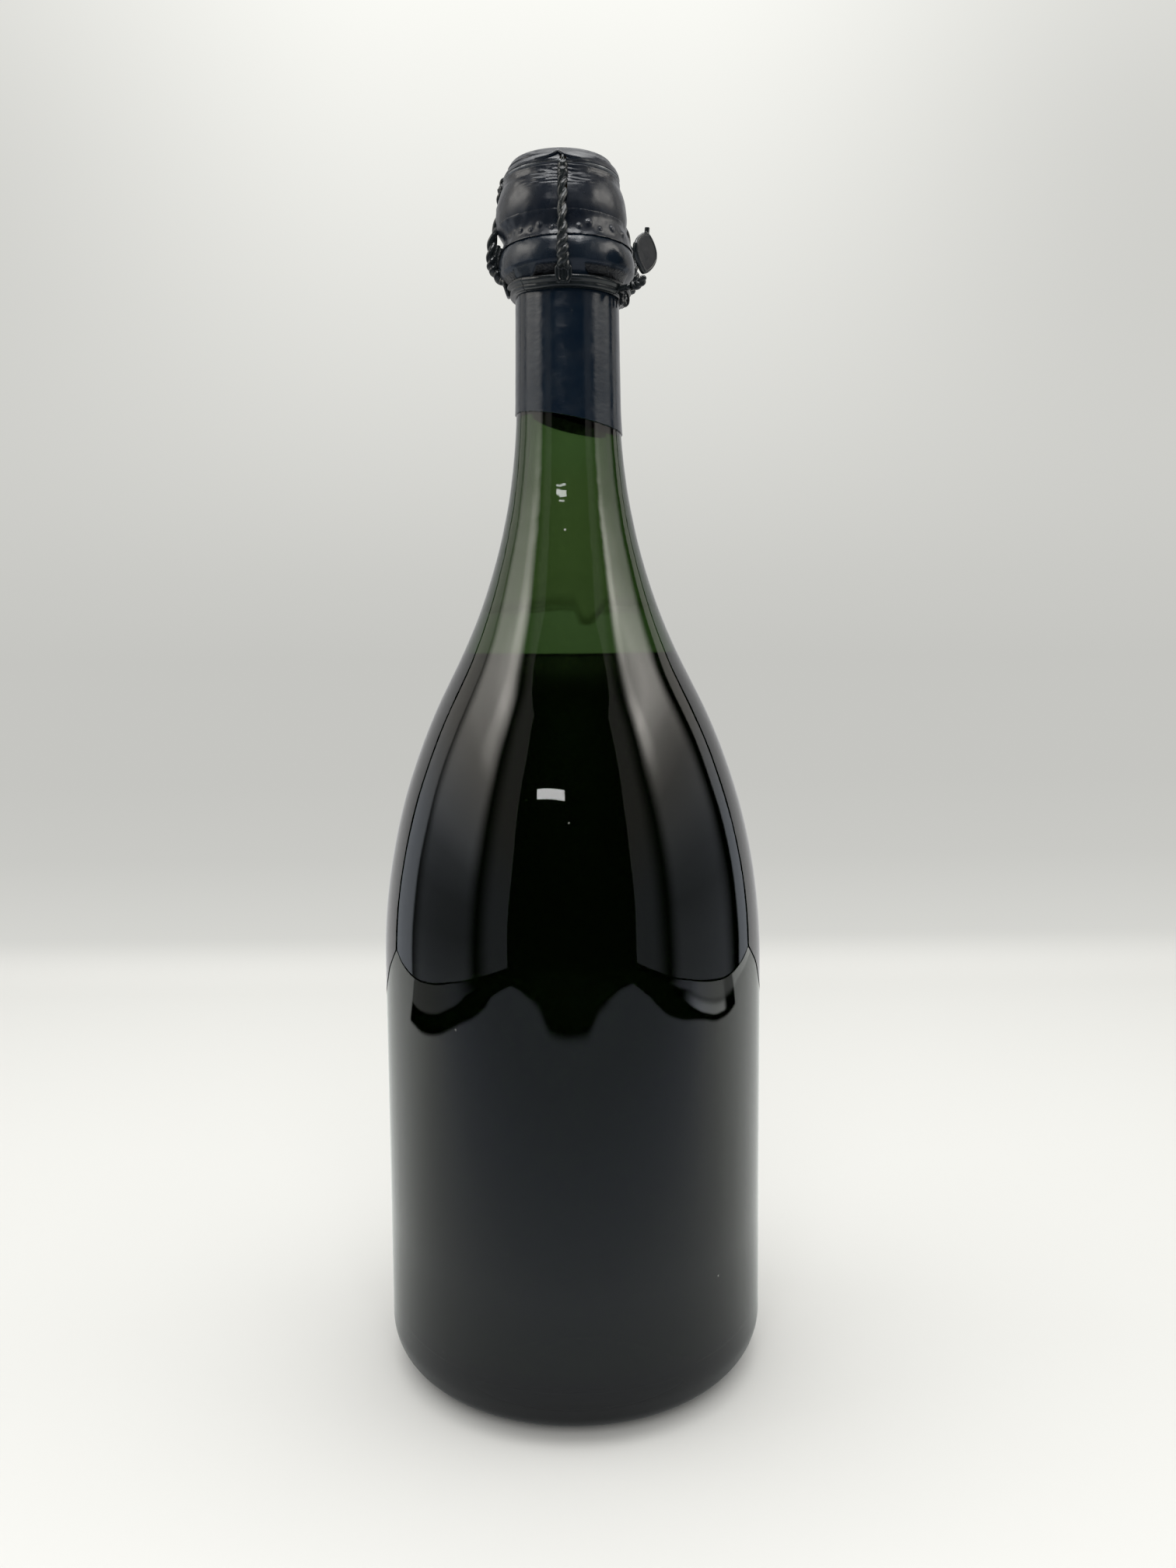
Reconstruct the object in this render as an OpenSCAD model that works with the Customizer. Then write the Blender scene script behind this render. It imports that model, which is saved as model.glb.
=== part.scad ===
// Champagne bottle of the squat historic shape, corked, wired and dipped in wax.
// Millimetres, +Z up, origin at the centre of the foot ring.

/* [Body] */
// Diameter of the straight side
body_d = 95; // [92:0.5:98]
// Height at which the straight side ends
side_h = 104; // [95:1:110]
// Radius of the heel between foot and side
heel_r = 12.5; // [10:0.5:14]
// Thickness of the glass in the side
wall = 5.4; // [4:0.1:5.6]
// Thickness of the glass above the foot ring
floor_t = 9.5; // [6:0.5:10]
// Height of the punt under the foot
punt_h = 36; // [28:1:40]

/* [Shoulder and neck] */
// Radius of the rounded shoulder
shoulder_r = 147.5; // [140:0.5:149]
// Radius of the hollow sweep from shoulder to neck
cove_r = 148.5; // [140:0.5:150]
// Steepest lean of the shoulder from the vertical
shoulder_lean = 26.8; // [26:0.1:27]
// Diameter of the neck
neck_d = 25.3; // [25:0.1:25.8]
// Diameter of the neck right under the collar
neck_top_d = 24.6; // [24.4:0.1:25]
// Diameter of the bore that holds the cork
bore_d = 18; // [17.6:0.1:18.4]

/* [Mouth] */
// Height of the glass at its mouth
mouth_h = 278.6; // [277:0.2:281]
// Diameter of the collar that the wire grips
collar_d = 32.4; // [32:0.1:32.8]
// Height of the collar from its lower edge to the mouth
collar_h = 12.6; // [12:0.1:13]

/* [Cork and cap] */
// Length of cork inside the neck
cork_in = 22.5; // [20:0.5:26]
// Play between cork and bore, on the radius
cork_play = 0.05; // [0.02:0.01:0.1]
// Thickness of each natural cork disc at the foot of the cork
disc_t = 4.5; // [3:0.5:6]
// Widest diameter of the mushroom head
head_d = 31; // [30.4:0.1:31.4]
// How far the head sits off the bottle's axis, towards -X
head_shift = 1.2; // [0.4:0.1:1.3]
// Diameter of the metal cap
cap_d = 26; // [25.8:0.1:26.2]
// Thickness of the cap's sheet
cap_t = 0.4; // [0.3:0.05:0.5]

/* [Wire hood] */
// Diameter of the ring wire on the cap
ring_wire_d = 1.2; // [1:0.05:1.25]
// Diameter of the ring, along the middle of its wire
ring_d = 26.8; // [26.6:0.1:27]
// Directions of the four legs, in degrees from -Y towards +X
leg_turns = [-3, 112, 180, 269];
// How far each leg is pressed in, as a share of the deepest
leg_tucks = [0, 1, 0.3, 0];
// Full turns of each twisted leg
leg_twists = 3.5; // [3:0.25:5]
// Diameter of the belt wire under its wax
belt_wire_d = 1.5; // [1.2:0.05:1.5]
// Direction of the closing loop, in degrees from -Y towards +X
loop_turn = 57; // [55:1:60]
// Lean of the closing loop, in degrees from the vertical, outwards at its top
loop_lean = 5.4; // [3:0.2:7]
// Height of the closing loop
loop_h = 9.6; // [9:0.2:10.4]
// Width of the closing loop
loop_w = 10.4; // [9:0.2:10.4]

/* [Wax and wine] */
// Thickness of the wax on neck and collar
wax_t = 0.35; // [0.2:0.05:0.4]
// Thickness of the wax on the cork's head
head_wax_t = 0.5; // [0.4:0.05:0.5]
// Height of the wax's lower edge on the bottle's axis
dip_h = 236; // [228:0.5:242]
// Slope of the wax's lower edge, in degrees, lower towards +X
dip_slope = 10.5; // [0:0.5:12]
// Height of the wine
wine_h = 178.3; // [150:0.1:220]

/* [Hidden] */
$fn = 96;

body_r = body_d / 2;
neck_r = neck_d / 2;
neck_top_r = neck_top_d / 2;
bore_r = bore_d / 2;
foot_r = body_r - heel_r;
foot_in_r = foot_r - 2.8;
inner_heel_r = heel_r - wall;
inner_floor_r = body_r - wall - inner_heel_r;

// The straight run of the shoulder takes up what the two arcs leave of the step in
shoulder_run = (body_r - neck_r - (shoulder_r + cove_r) * (1 - cos(shoulder_lean))) / sin(shoulder_lean);
cove_z = side_h + (shoulder_r + cove_r) * sin(shoulder_lean) + shoulder_run * cos(shoulder_lean);

collar_r = collar_d / 2;
collar_z = mouth_h - collar_h;
// The heart of the collar's section, from which its wax is thickened
collar_heart = [neck_r - 0.75, mouth_h - 6.5];

cork_r = bore_r - cork_play;
cork_z = mouth_h - cork_in;
head_r = head_d / 2;
cap_r = cap_d / 2;
ring_r = ring_d / 2;
ring_wire_r = ring_wire_d / 2;
belt_wire_r = belt_wire_d / 2;
// Heights on the head, all from the mouth
ring_z = mouth_h + 14.7;
cap_z = mouth_h + 15.4;
cap_top_z = mouth_h + 17.5;
cork_top_z = cap_top_z - cap_t;

// Each leg's slot in the wax, and the round pocket for the eye at its top
slot_w = 3.2;
slot_in = 0.55;
slot_z = mouth_h + 1.1;
eye_r = 1.15;
eye_wire_r = 0.42;
pocket_r = eye_r + eye_wire_r + 0.2;
pocket_w = 2 * eye_wire_r + 0.5;

// Twisted pair: middle and swing of its section's radius
pair_mid = 0.93;
pair_swing = 0.27;
pair_sides = 8;
foot_wire_r = 0.55;
foot_half_w = 1.5;

// The belt's doubled wire lies against the slope under the collar: [radius, height] of each turn
belt_low = [14.0, mouth_h - 12.75];
belt_high = [14.72, mouth_h - 11.5];
belt_gap = 1;

// Where a leg's middle line runs below its eye, as [radius, height], when pressed in by k
function leg_bulge(k) = [[15.8 - 1.5 * k, mouth_h + 8.5], [16.6 - 1.4 * k, mouth_h + 5.2],
    [18.1 - 1.3 * k, mouth_h + 0.8], [18.4 - 0.8 * k, mouth_h - 2.4], [18.2 - 0.3 * k, mouth_h - 4.6]];
foot_line = [[18.2, mouth_h - 4.4], [17.9, mouth_h - 6.4], [17.15, mouth_h - 8.0], [16.0, mouth_h - 9.6],
    [15.45, mouth_h - 11.1], [14.95, mouth_h - 12.6]];

// The closing twist leaves the belt, turns up at the fold and carries the loop
fold_r = 17.2;
fold_z = mouth_h - 12.4;
knuckle_r = 0.8;
stem_line = [[18.15, mouth_h - 12.3], [19.5, mouth_h - 12.4], [20.8, mouth_h - 11.9], [21.45, mouth_h - 10.7]];
loop_r = 21.5;
loop_z = mouth_h - 10.2;
loop_wire_r = 0.6;
film_t = 0.7;

function arc(c, r, from, to, n) = [for (i = [0:n]) let (a = from + (to - from) * i / n)
    [c[0] + r * cos(a), c[1] + r * sin(a)]];
function bezier(p, n) = [for (i = [0:n]) let (t = i / n, s = 1 - t)
    s * s * s * p[0] + 3 * s * s * t * p[1] + 3 * s * t * t * p[2] + t * t * t * p[3]];
function spline_at(p, t) = let (n = len(p) - 1, i = min(floor(t * n), n - 1), f = t * n - i,
    b = p[i], c = p[i + 1], a = i > 0 ? p[i - 1] : 2 * b - c, d = i < n - 1 ? p[i + 2] : 2 * c - b)
    0.5 * (2 * b + (c - a) * f + (2 * a - 5 * b + 4 * c - d) * f * f
        + (3 * b - a - 3 * c + d) * f * f * f);
function unit(v) = v / norm(v);
// A point at radius r and height z in the upright plane that faces azimuth turn
function upright(turn, r, z, side = 0) = [r * sin(turn) + side * cos(turn),
    -r * cos(turn) + side * sin(turn), z];

// Meridian from side to neck, moved inwards by low at the side and by high at the neck
function shoulder_line(low, high) = let (
        a = arc([body_r - shoulder_r, side_h], shoulder_r - low, 0, shoulder_lean, 16),
        b = arc([neck_r + cove_r, cove_z], cove_r + high, 180 + shoulder_lean, 180, 16))
    concat(a, b);
function line_until(p, z) = [for (q = p) if (q[1] < z) q];
function radius_at(p, z) = let (i = [for (k = [1:len(p) - 1]) if (p[k - 1][1] <= z && p[k][1] > z) k][0])
    p[i - 1][0] + (p[i][0] - p[i - 1][0]) * (z - p[i - 1][1]) / (p[i][1] - p[i - 1][1]);

// Collar and lip of the glass, thickened by t from the heart of the section
function collar_line(t) = let (
        low = [collar_r - 0.25, collar_z + 5],
        high = [collar_r - 0.85, mouth_h - 2.1],
        lip = [neck_r - 0.15, mouth_h],
        side = bezier([low, [collar_r + 0.2, collar_z + 6.5], [collar_r + 0.1, mouth_h - 3.9], high], 8),
        top = bezier([high, [collar_r - 1.4, mouth_h - 0.9], [neck_r + 1.2, mouth_h - 0.15], lip], 8))
    [for (p = concat(side, [for (i = [1:8]) top[i]])) p + t * unit(p - collar_heart)];

outer_line = concat([[foot_in_r, 0]], arc([foot_r, heel_r], heel_r, -90, 0, 12), shoulder_line(0, 0),
    [[neck_top_r, collar_z]], collar_line(0), [[bore_r + 0.4, mouth_h], [bore_r, mouth_h - 0.4]]);
inner_line = concat(arc([inner_floor_r, floor_t + inner_heel_r], inner_heel_r, -90, 0, 10),
    shoulder_line(wall, neck_r - bore_r));
// Dome of height h on a circle of radius edge
function dome(h, edge) = [for (i = [0:15]) [edge * i / 16, h * cos(90 * i / 16)]];
punt_under = dome(punt_h, foot_in_r);
punt_over = [for (p = dome(punt_h - 2, inner_floor_r)) p + [0, floor_t]];

module bottle_glass() {
    color([0.16, 0.26, 0.11, 0.75]) rotate_extrude()
        polygon(concat(punt_under, outer_line, [for (i = [len(inner_line) - 1:-1:0]) inner_line[i]],
            [for (i = [15:-1:0]) punt_over[i]]));
}

module wine() {
    filled = line_until(inner_line, wine_h);
    color([0.08, 0.13, 0.05, 0.9]) rotate_extrude()
        polygon(concat(punt_over, filled, [[radius_at(inner_line, wine_h), wine_h], [0, wine_h]]));
}

// Wax film from the dip line up over the collar to the lip
module neck_wax() {
    start = dip_h - 6;
    neck_line = [for (p = shoulder_line(0, 0)) if (p[1] > start) p];
    inside = concat([[radius_at(outer_line, start), start]], neck_line, [[neck_top_r, collar_z]], collar_line(0));
    outside = concat([[radius_at(outer_line, start) + wax_t, start]], [for (p = neck_line) p + [wax_t, 0]],
        [[neck_top_r + wax_t, collar_z + 0.15]], collar_line(wax_t));
    color([0.07, 0.09, 0.12]) difference() {
        rotate_extrude() polygon(concat(inside, [for (i = [len(outside) - 1:-1:0]) outside[i]]));
        translate([0, 0, dip_h]) rotate([0, dip_slope, 0]) translate([-30, -30, -40]) cube([60, 60, 40]);
    }
}

module head_place() {
    translate([-head_shift, 0, 0]) children();
}

// Slots and pockets that leave room for the four legs
module leg_room() {
    for (turn = leg_turns) rotate([0, 0, turn]) {
        translate([-slot_w / 2, -24, slot_z]) cube([slot_w, 24 - hinge_r(turn) + slot_in, cap_z + 0.4 - slot_z]);
        translate([0, -hinge_r(turn), ring_z]) rotate([0, 90, 0])
            cylinder(r = pocket_r, h = pocket_w, center = true, $fn = 32);
    }
}

// Radius from the bottle's axis at which a leg's eye goes round the ring wire
function hinge_r(turn) = sqrt(ring_r * ring_r - pow(head_shift * cos(turn), 2)) - head_shift * sin(turn);

// Mushroom head, thickened by t
function head_line(t) = concat(
    bezier([[bore_r + 3.4 + t, mouth_h + 0.7], [head_r - 0.9 + t, mouth_h + 1.4],
        [head_r + t, mouth_h + 3.4], [head_r + t, mouth_h + 5.5]], 8),
    bezier([[head_r + t, mouth_h + 5.6], [head_r + t, mouth_h + 8], [head_r - 0.7 + t, mouth_h + 10.4],
        [head_r - 1.5 + t, mouth_h + 12.2]], 8));

module cork_body() {
    shoulder = bezier([[head_r - 1.55, mouth_h + 12.3], [head_r - 1.8, mouth_h + 13.1],
        [ring_r - 0.3, mouth_h + 13.7], [ring_r - 0.7, mouth_h + 13.9]], 5);
    color([0.71, 0.55, 0.38]) difference() {
        union() {
            translate([0, 0, cork_z + 2 * disc_t]) cylinder(r = cork_r, h = cork_in - 2 * disc_t + 3);
            head_place() rotate_extrude()
                polygon(concat([[0, mouth_h + 0.1], [bore_r, mouth_h + 0.12]], head_line(0), shoulder,
                    [[ring_r - 0.7, cap_z], [cap_r - cap_t, cap_z], [cap_r - cap_t, cork_top_z - 0.7],
                    [cap_r - 1.3, cork_top_z], [0, cork_top_z]]));
        }
        leg_room();
    }
}

module cork_disc(z) {
    color([0.8, 0.66, 0.48]) translate([0, 0, z]) cylinder(r = cork_r, h = disc_t);
}

// Pressed metal cap with a short skirt
module cap_plate() {
    color([0.35, 0.36, 0.38]) difference() {
        head_place() rotate_extrude() polygon([[0, cork_top_z], [cap_r - 1.3, cork_top_z],
            [cap_r - cap_t, cork_top_z - 0.7], [cap_r - cap_t, cap_z], [cap_r, cap_z],
            [cap_r, cap_top_z - 0.9], [cap_r - 0.9, cap_top_z], [cap_r - 2.5, cap_top_z],
            [cap_r - 3.5, cap_top_z + 0.4], [0, cap_top_z + 0.4]]);
        leg_room();
    }
}

module hood_top_ring() {
    color([0.45, 0.46, 0.48]) head_place() translate([0, 0, ring_z])
        rotate_extrude() translate([ring_r, 0]) circle(r = ring_wire_r, $fn = 24);
}

// Wax over cork head, ring and cap
module head_wax() {
    t = head_wax_t;
    color([0.07, 0.09, 0.12]) difference() {
        head_place() rotate_extrude() polygon(concat([[bore_r + 3.4, mouth_h + 0.6]], head_line(t),
            [[ring_r + 0.8, ring_z - 0.9], [ring_r + 0.9, ring_z], [ring_r + 0.55, ring_z + 1],
            [cap_r - 0.1 + t, cap_top_z - 0.8], [cap_r - 0.6 + t, cap_top_z], [cap_r - 1 + t, cap_top_z + 0.5],
            [cap_r - 1.4 + t, cap_top_z + 0.8], [0, cap_top_z + 1], [0, mouth_h + 0.6]]));
        head_place() rotate_extrude() polygon(concat([[0, mouth_h], [bore_r, mouth_h]], head_line(0),
            bezier([[head_r - 1.55, mouth_h + 12.3], [head_r - 1.8, mouth_h + 13.1],
                [ring_r - 0.3, mouth_h + 13.7], [ring_r - 0.7, mouth_h + 13.9]], 5),
            [[ring_r - 0.7, cap_z], [cap_r, cap_z], [cap_r, cap_top_z - 0.9],
            [cap_r - 0.9, cap_top_z], [cap_r - 2.5, cap_top_z], [cap_r - 3.5, cap_top_z + 0.4],
            [0, cap_top_z + 0.4]]));
        head_place() translate([0, 0, ring_z]) rotate_extrude() translate([ring_r, 0])
            circle(r = ring_wire_r, $fn = 24);
        leg_room();
    }
}

// Tube along points, with its section turned by twist degrees from end to end
module twisted_tube(points, twist, mid, swing, sides, side_dir) {
    n = len(points);
    rings = [for (i = [0:n - 1]) let (
            ahead = points[min(i + 1, n - 1)], behind = points[max(i - 1, 0)],
            along = unit(ahead - behind), across = cross(side_dir, along), turn = twist * i / (n - 1))
        for (j = [0:sides - 1]) let (a = 360 * j / sides, r = mid + swing * cos(2 * a))
            points[i] + r * (cos(a + turn) * across + sin(a + turn) * side_dir)];
    walls = [for (i = [0:n - 2]) for (j = [0:sides - 1]) let (
            k = (j + 1) % sides, a = i * sides + j, b = i * sides + k)
        each [[a, b + sides, b], [a, a + sides, b + sides]]];
    first = [for (j = [0:sides - 1]) j];
    last = [for (j = [sides - 1:-1:0]) (n - 1) * sides + j];
    polyhedron(points = rings, faces = concat(walls, [first], [last]), convexity = 6);
}

// Round wire along points, one short hull from each point to the next
module wire(points, r) {
    for (i = [1:len(points) - 1]) hull() {
        translate(points[i - 1]) sphere(r = r, $fn = 6);
        translate(points[i]) sphere(r = r, $fn = 6);
    }
}

// One leg of the hood: an eye round the ring wire, a twisted pair, and a foot that loops round the belt
module hood_leg(i) {
    turn = leg_turns[i];
    bulge = leg_bulge(leg_tucks[i]);
    top = [hinge_r(turn) + 0.85, ring_z - 1.3];
    line = concat([top], [[(top[0] + bulge[0][0]) / 2 + 0.1, mouth_h + 10.9]], bulge);
    rings = 52;
    pair = [for (i = [0:rings]) let (p = spline_at(line, i / rings)) upright(turn, p[0], p[1])];
    foot_n = 6;
    side_a = [for (i = [0:foot_n]) let (p = spline_at(foot_line, i / foot_n * 0.86),
        w = foot_half_w * min(1, 0.35 + 1.6 * i / foot_n)) upright(turn, p[0], p[1], w)];
    side_b = [for (i = [foot_n:-1:0]) let (p = spline_at(foot_line, i / foot_n * 0.86),
        w = foot_half_w * min(1, 0.35 + 1.6 * i / foot_n)) upright(turn, p[0], p[1], -w)];
    bottom = spline_at(foot_line, 1);
    eye = [for (i = [0:9]) let (a = 36 * i)
        upright(turn, hinge_r(turn) + eye_r * cos(a), ring_z + eye_r * sin(a))];
    color([0.12, 0.14, 0.15]) {
        twisted_tube(pair, 360 * leg_twists, pair_mid, pair_swing, pair_sides,
            [cos(turn), sin(turn), 0]);
        wire(concat(side_a, [upright(turn, bottom[0], bottom[1], 0.8),
            upright(turn, bottom[0], bottom[1], -0.8)], side_b), foot_wire_r);
        wire(concat(eye, [eye[0]]), eye_wire_r);
    }
}

// Quarter of the doubled belt wire between the azimuths from and to
module belt_arc(from, to) {
    color([0.12, 0.14, 0.15]) for (p = [belt_low, belt_high])
        rotate([0, 0, from + belt_gap - 90]) rotate_extrude(angle = to - from - 2 * belt_gap)
            translate(p) circle(r = belt_wire_r, $fn = 24);
}
function between(i) = i < 3 ? (leg_turns[i] + leg_turns[i + 1]) / 2 : (leg_turns[3] + leg_turns[0] + 360) / 2;

module belt_right() {
    belt_arc(between(0), between(1));
    // Root of the closing twist, with the knuckle that it folds on
    color([0.12, 0.14, 0.15]) rotate([0, 0, loop_turn]) translate([0, -fold_r, fold_z]) {
        rotate([-90, 0, 0]) cylinder(r = knuckle_r - 0.05, h = fold_r - belt_high[0], $fn = 24);
        sphere(r = knuckle_r, $fn = 24);
    }
}

// Drips of wax that hang from the belt by the closing twist
module wax_drips() {
    color([0.07, 0.09, 0.12]) for (d = [[63, 14.6, 2.6], [72, 14.3, 2.0], [84, 14.2, 1.5]])
        translate(upright(d[0], d[1], belt_low[1] - 0.45)) rotate([0, 0, d[0]])
            rotate_extrude($fn = 24) polygon(concat([[0, 0]],
                bezier([[0.75, 0], [0.75, -d[2] * 0.5], [0.6, -d[2]], [0, -d[2]]], 6)));
}

module closing_stem() {
    pts = [for (i = [0:20]) let (p = spline_at(stem_line, i / 20)) upright(loop_turn, p[0], p[1])];
    color([0.12, 0.14, 0.15]) twisted_tube(pts, 540, 0.85, 0.2, pair_sides, [cos(loop_turn), sin(loop_turn), 0]);
}

// Half width of the closing loop at the share t of its height: pointed below, round above
function loop_half(t) = (loop_w / 2 - loop_wire_r) * pow(sin(180 * pow(t, 1.08)), 0.7);

// A point of the leaning loop, at length along it and side across it
function in_loop(length, side = 0) =
    upright(loop_turn, loop_r + length * sin(loop_lean), loop_z + length * cos(loop_lean), side);

module closing_loop() {
    n = 12;
    h = loop_h - 2 * loop_wire_r;
    pts = [for (i = [0:n]) let (t = 0.5 - 0.5 * cos(180 * i / n)) in_loop(loop_wire_r + h * t, loop_half(t))];
    back = [for (i = [n:-1:0]) let (t = 0.5 - 0.5 * cos(180 * i / n)) in_loop(loop_wire_r + h * t, -loop_half(t))];
    stub = [in_loop(loop_h - 0.8), in_loop(loop_h + 0.9)];
    color([0.12, 0.14, 0.15]) wire(concat(pts, back, [pts[0]]), loop_wire_r);
    color([0.12, 0.14, 0.15]) wire(stub, loop_wire_r);
}

// Dried wax that closes the loop like a window pane
module loop_film() {
    n = 20;
    h = loop_h - 2 * loop_wire_r;
    outline = 0.93 * concat([for (i = [0:n]) [loop_half(i / n), h * (i / n - 0.5)]],
        [for (i = [n - 1:-1:1]) [-loop_half(i / n), h * (i / n - 0.5)]]);
    color([0.1, 0.12, 0.14]) rotate([0, 0, loop_turn]) translate([0, -loop_r, loop_z]) rotate([loop_lean, 0, 0])
        translate([0, film_t / 2, loop_h / 2])
            rotate([90, 0, 0]) linear_extrude(height = film_t) polygon(outline);
}

bottle_glass();
wine();
neck_wax();
cork_body();
cork_disc(cork_z + disc_t);  // cork_disc_upper
cork_disc(cork_z);  // cork_disc_lower
cap_plate();
hood_top_ring();
head_wax();
hood_leg(0);  // hood_leg_front
hood_leg(1);  // hood_leg_right
hood_leg(2);  // hood_leg_back
hood_leg(3);  // hood_leg_left
belt_arc(between(3) - 360, between(0));  // belt_front
belt_right();
belt_arc(between(1), between(2));  // belt_back
belt_arc(between(2), between(3));  // belt_left
wax_drips();
closing_stem();
closing_loop();
loop_film();
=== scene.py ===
import math
import bpy
from mathutils import Matrix, Vector, noise


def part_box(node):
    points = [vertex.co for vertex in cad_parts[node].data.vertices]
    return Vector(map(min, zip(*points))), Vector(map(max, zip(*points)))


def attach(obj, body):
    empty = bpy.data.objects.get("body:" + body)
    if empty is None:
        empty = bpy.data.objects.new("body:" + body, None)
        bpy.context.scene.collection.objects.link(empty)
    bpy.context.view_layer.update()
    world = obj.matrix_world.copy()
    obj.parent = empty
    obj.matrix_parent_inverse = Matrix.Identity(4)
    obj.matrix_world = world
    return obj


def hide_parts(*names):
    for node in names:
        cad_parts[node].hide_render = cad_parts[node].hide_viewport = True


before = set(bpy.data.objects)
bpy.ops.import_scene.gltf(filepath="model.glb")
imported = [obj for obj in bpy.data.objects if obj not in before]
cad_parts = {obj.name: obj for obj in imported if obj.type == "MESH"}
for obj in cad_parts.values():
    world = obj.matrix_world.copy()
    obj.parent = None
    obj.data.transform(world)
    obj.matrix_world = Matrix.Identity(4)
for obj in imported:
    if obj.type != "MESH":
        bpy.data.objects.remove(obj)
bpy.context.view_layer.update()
print("frame loaded with", len(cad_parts), "nodes")

mm = 0.001  # outlines below are in millimetres, meshes in metres

# Heights and radii that the frame gives, in millimetres
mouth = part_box("bottle_glass")[1].z / mm
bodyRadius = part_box("bottle_glass")[1].x / mm
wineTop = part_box("wine")[1].z / mm

bottleShape = {
    "heelRadius": 12.5, "footWidth": 2.8, "wall": 5.4, "floor": 9.5, "puntHeight": 36,
    "sideTop": 104, "shoulderRadius": 147.5, "coveRadius": 148.5, "lean": 26.8, "neckRadius": 12.65,
    "neckTopRadius": 12.3, "boreRadius": 9, "collarRadius": 16.2, "collarHeight": 12.6,
}

hoodShape = {
    "turns": {"front": -3, "right": 112, "back": 180, "left": 269},  # degrees from -Y towards +X
    "tucks": {"front": 0, "right": 1, "back": 0.3, "left": 0},  # how far each leg is pressed in at its bulge
    "ringRadius": 13.4, "ringWire": 0.6, "headShift": 1.2, "legTwists": 4.4,
    "strand": 0.7, "strandOffset": 0.55, "footWire": 0.55, "footHalfWidth": 1.5, "eyeRadius": 1.15, "eyeWire": 0.42,
    "beltWire": 0.75, "beltLow": (14.0, -12.75), "beltHigh": (14.72, -11.5),  # radius, height from the mouth
    "loopTurn": 57, "loopRadius": 21.5, "loopLean": 5.4, "loopLow": -10.2, "loopHeight": 9.6, "loopWidth": 10.4,
    "loopWire": 0.6,
    "foldRadius": 17.2, "foldHeight": -12.4, "knuckle": 0.8,
}

waxShape = {"neck": 0.35, "head": 0.5, "dipHeight": 236, "dipSlope": 10.5}


# Selecting, as by hand

def deselectAll():
    if bpy.context.mode != "OBJECT":
        bpy.ops.object.mode_set(mode="OBJECT")
    bpy.ops.object.select_all(action="DESELECT")


def activate(piece, *others):
    deselectAll()
    for other in (piece, *others):
        other.select_set(True)
    bpy.context.view_layer.objects.active = piece
    return piece


def applyModifier(piece, kind, **settings):
    activate(piece)
    modifier = piece.modifiers.new(kind.title(), kind)
    for key, value in settings.items():
        setattr(modifier, key, value)
    bpy.ops.object.modifier_apply(modifier=modifier.name)
    return piece


# Outlines, all in millimetres

def arcPoints(centre, radius, fromDeg, toDeg, count):
    angles = [math.radians(fromDeg + (toDeg - fromDeg) * i / count) for i in range(count + 1)]
    return [(centre[0] + radius * math.cos(a), centre[1] + radius * math.sin(a)) for a in angles]


def bezierPoints(a, b, c, d, count):
    points = []
    for i in range(count + 1):
        t = i / count
        s = 1 - t
        weights = (s ** 3, 3 * s * s * t, 3 * s * t * t, t ** 3)
        points.append(tuple(sum(w * p[k] for w, p in zip(weights, (a, b, c, d))) for k in (0, 1)))
    return points


def splinePoint(points, t):  # smooth curve through the points, t from 0 to 1
    spans = len(points) - 1
    i = min(int(t * spans), spans - 1)
    f = t * spans - i
    b, c = Vector(points[i]), Vector(points[i + 1])
    a = Vector(points[i - 1]) if i > 0 else 2 * b - c
    d = Vector(points[i + 2]) if i < spans - 1 else 2 * c - b
    return 0.5 * (2 * b + (c - a) * f + (2 * a - 5 * b + 4 * c - d) * f ** 2
                  + (3 * b - a - 3 * c + d) * f ** 3)


def evenLine(points, gap):  # the same outline with a point at least every gap
    line = [points[0]]
    for a, b in zip(points, points[1:]):
        parts = max(1, math.ceil(math.dist(a, b) / gap))
        line += [(a[0] + (b[0] - a[0]) * k / parts, a[1] + (b[1] - a[1]) * k / parts)
                 for k in range(1, parts + 1)]
    return line


def upright(turn, radius, height, side=0):  # a point in the upright plane that faces azimuth turn
    a = math.radians(turn)
    return Vector((radius * math.sin(a) + side * math.cos(a), -radius * math.cos(a) + side * math.sin(a), height))


def smoothStep(value, low, high):
    t = min(1, max(0, (value - low) / (high - low)))
    return t * t * (3 - 2 * t)


def shoulderLine(low, high):  # side to neck, moved inwards by low at the side and by high at the neck
    b = bottleShape
    lean = math.radians(b["lean"])
    both = b["shoulderRadius"] + b["coveRadius"]
    run = (bodyRadius - b["neckRadius"] - both * (1 - math.cos(lean))) / math.sin(lean)
    coveHeight = b["sideTop"] + both * math.sin(lean) + run * math.cos(lean)
    shoulder = arcPoints((bodyRadius - b["shoulderRadius"], b["sideTop"]), b["shoulderRadius"] - low,
                         0, b["lean"], 36)
    cove = arcPoints((b["neckRadius"] + b["coveRadius"], coveHeight), b["coveRadius"] + high,
                     180 + b["lean"], 180, 36)
    return shoulder + cove


def radiusAt(line, height):
    for a, b in zip(line, line[1:]):
        if a[1] <= height < b[1]:
            return a[0] + (b[0] - a[0]) * (height - a[1]) / (b[1] - a[1])
    return line[-1][0]


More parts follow.
